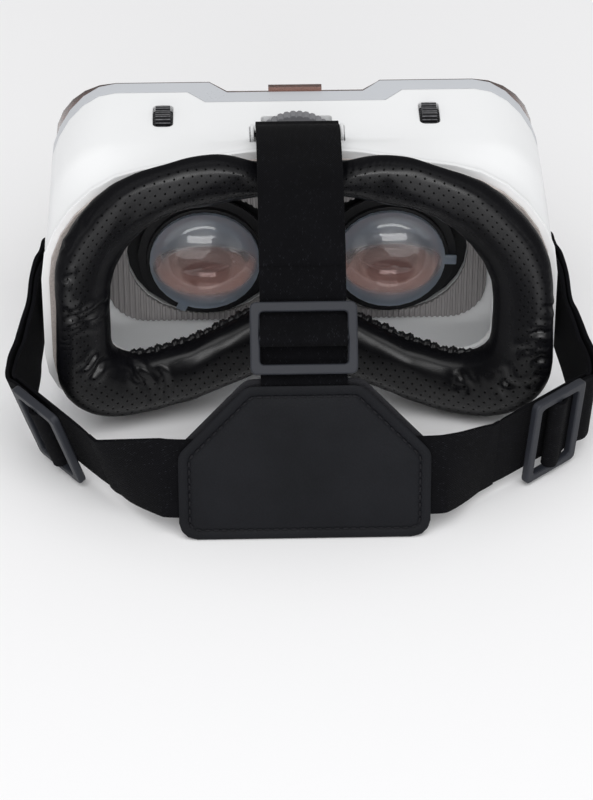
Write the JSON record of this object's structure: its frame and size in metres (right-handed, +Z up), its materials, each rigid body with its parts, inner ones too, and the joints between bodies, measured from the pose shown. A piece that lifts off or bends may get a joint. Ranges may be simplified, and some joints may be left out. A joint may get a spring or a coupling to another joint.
{
  "type": "phone vr headset",
  "caption": "Goggle-shaped phone viewer with a moulded shell, hinged front door, adjustable lenses, padded face cushion and a buckled head strap with a back pad.",
  "frame": {"origin": "on the shell's flat underside, on the left-right centre plane, in the plane of the floor it stands on", "axes": "+X to the wearer's right, +Y forward from the face to the phone, +Z up"},
  "size_m": [0.2129, 0.1536, 0.1113],
  "materials": {
    "white_shell": "satin moulded white, soft gloss",
    "grey_trim": "satin pale grey",
    "black_plastic": "fine spark-eroded black",
    "baffle_grey": "matte grey with vertical ribs",
    "smoked_door": "polished smoked brown",
    "clear_lens": "polished clear resin",
    "black_leather": "perforated soft leather, low sheen",
    "foam_lining": "matte foam",
    "black_webbing": "woven elastic webbing",
    "buckle_grey": "satin dark grey",
    "steel": "plain turned steel"
  },
  "bodies": {
    "headset": {"back_pad_core": "black_plastic", "back_pad_cover": "black_leather", "back_pad_lining": "foam_lining", "cushion_backing": "black_plastic", "face_cushion": "black_leather", "face_frame": "white_shell", "frame_screw_1": "steel", "frame_screw_2": "steel", "frame_screw_3": "steel", "frame_screw_4": "steel", "front_bezel": "grey_trim", "left_hinge_pin": "steel", "left_strap": "black_webbing", "left_strap_anchor": "white_shell", "left_strap_return": "black_webbing", "left_upper_guide": "black_plastic", "lens_board": "white_shell", "lower_guide": "black_plastic", "main_shell": "white_shell", "optical_divider": "black_plastic", "ribbed_panel": "baffle_grey", "right_hinge_pin": "steel", "right_strap": "black_webbing", "right_strap_anchor": "white_shell", "right_strap_return": "black_webbing", "right_upper_guide": "black_plastic", "top_strap": "black_webbing", "top_strap_anchor": "white_shell", "top_strap_return": "black_webbing", "wheel_bracket": "black_plastic", "window_frame": "black_plastic"},
    "eye_distance_wheel": {"ipd_wheel": "grey_trim", "ipd_pinion": "black_plastic", "wheel_axle": "steel"},
    "left_carriage_body": {"left_carriage": "black_plastic"},
    "right_carriage_body": {"right_carriage": "black_plastic"},
    "left_optics": {"left_lens": "clear_lens", "left_lens_holder": "black_plastic"},
    "right_optics": {"right_lens": "clear_lens", "right_lens_holder": "black_plastic"},
    "left_slider": {"left_focus_slider": "black_plastic"},
    "right_slider": {"right_focus_slider": "black_plastic"},
    "door": {"front_door": "smoked_door", "left_door_pad": "foam_lining", "right_door_pad": "foam_lining"},
    "left_buckle_body": {"left_buckle": "buckle_grey"},
    "right_buckle_body": {"right_buckle": "buckle_grey"},
    "top_buckle_body": {"top_buckle": "buckle_grey"}
  },
  "joints": [
    {"name": "eye_distance", "type": "hinge", "parent": "headset", "child": "eye_distance_wheel", "pos_m": [0, -0.0045, 0.0884], "axis": [0, 1, 0], "range_deg": [-41, 41]},
    {"name": "left_eye_slide", "type": "slide", "parent": "headset", "child": "left_carriage_body", "axis": [1, 0, 0], "range_m": [-0.0035, 0.0035]},
    {"name": "right_eye_slide", "type": "slide", "parent": "headset", "child": "right_carriage_body", "axis": [1, 0, 0], "range_m": [-0.0035, 0.0035]},
    {"name": "left_focus", "type": "slide", "parent": "headset", "child": "left_slider", "axis": [0, 1, 0], "range_m": [-0.0035, 0.0035]},
    {"name": "right_focus", "type": "slide", "parent": "headset", "child": "right_slider", "axis": [0, 1, 0], "range_m": [-0.0035, 0.0035]},
    {"name": "left_lens_slide", "type": "slide", "parent": "left_carriage_body", "child": "left_optics", "axis": [0, 1, 0], "range_m": [-0.0035, 0.0035]},
    {"name": "right_lens_slide", "type": "slide", "parent": "right_carriage_body", "child": "right_optics", "axis": [0, 1, 0], "range_m": [-0.0035, 0.0035]},
    {"name": "door_hinge", "type": "hinge", "parent": "headset", "child": "door", "pos_m": [0, 0.0277, 0.0042], "axis": [-1, 0, 0], "range_deg": [0, 90]},
    {"name": "left_strap_length", "type": "slide", "parent": "headset", "child": "left_buckle_body", "axis": [-0.6215, 0.7818, 0.0501], "range_m": [-0.008, 0.003], "deforming": ["left_strap_return"]},
    {"name": "right_strap_length", "type": "slide", "parent": "headset", "child": "right_buckle_body", "axis": [0.7598, 0.6498, 0.02], "range_m": [-0.008, 0.003], "deforming": ["right_strap_return"]},
    {"name": "top_strap_length", "type": "slide", "parent": "headset", "child": "top_buckle_body", "axis": [0, 0.6222, 0.7828], "range_m": [0, 0.01], "deforming": ["top_strap_return"]}
  ],
  "couplings": [
    {"joint": "eye_distance", "follows": "left_eye_slide", "rad_per_m": 200},
    {"joint": "right_eye_slide", "follows": "left_eye_slide", "ratio": -1},
    {"joint": "left_lens_slide", "follows": "left_focus", "ratio": 1},
    {"joint": "right_lens_slide", "follows": "right_focus", "ratio": 1}
  ]
}
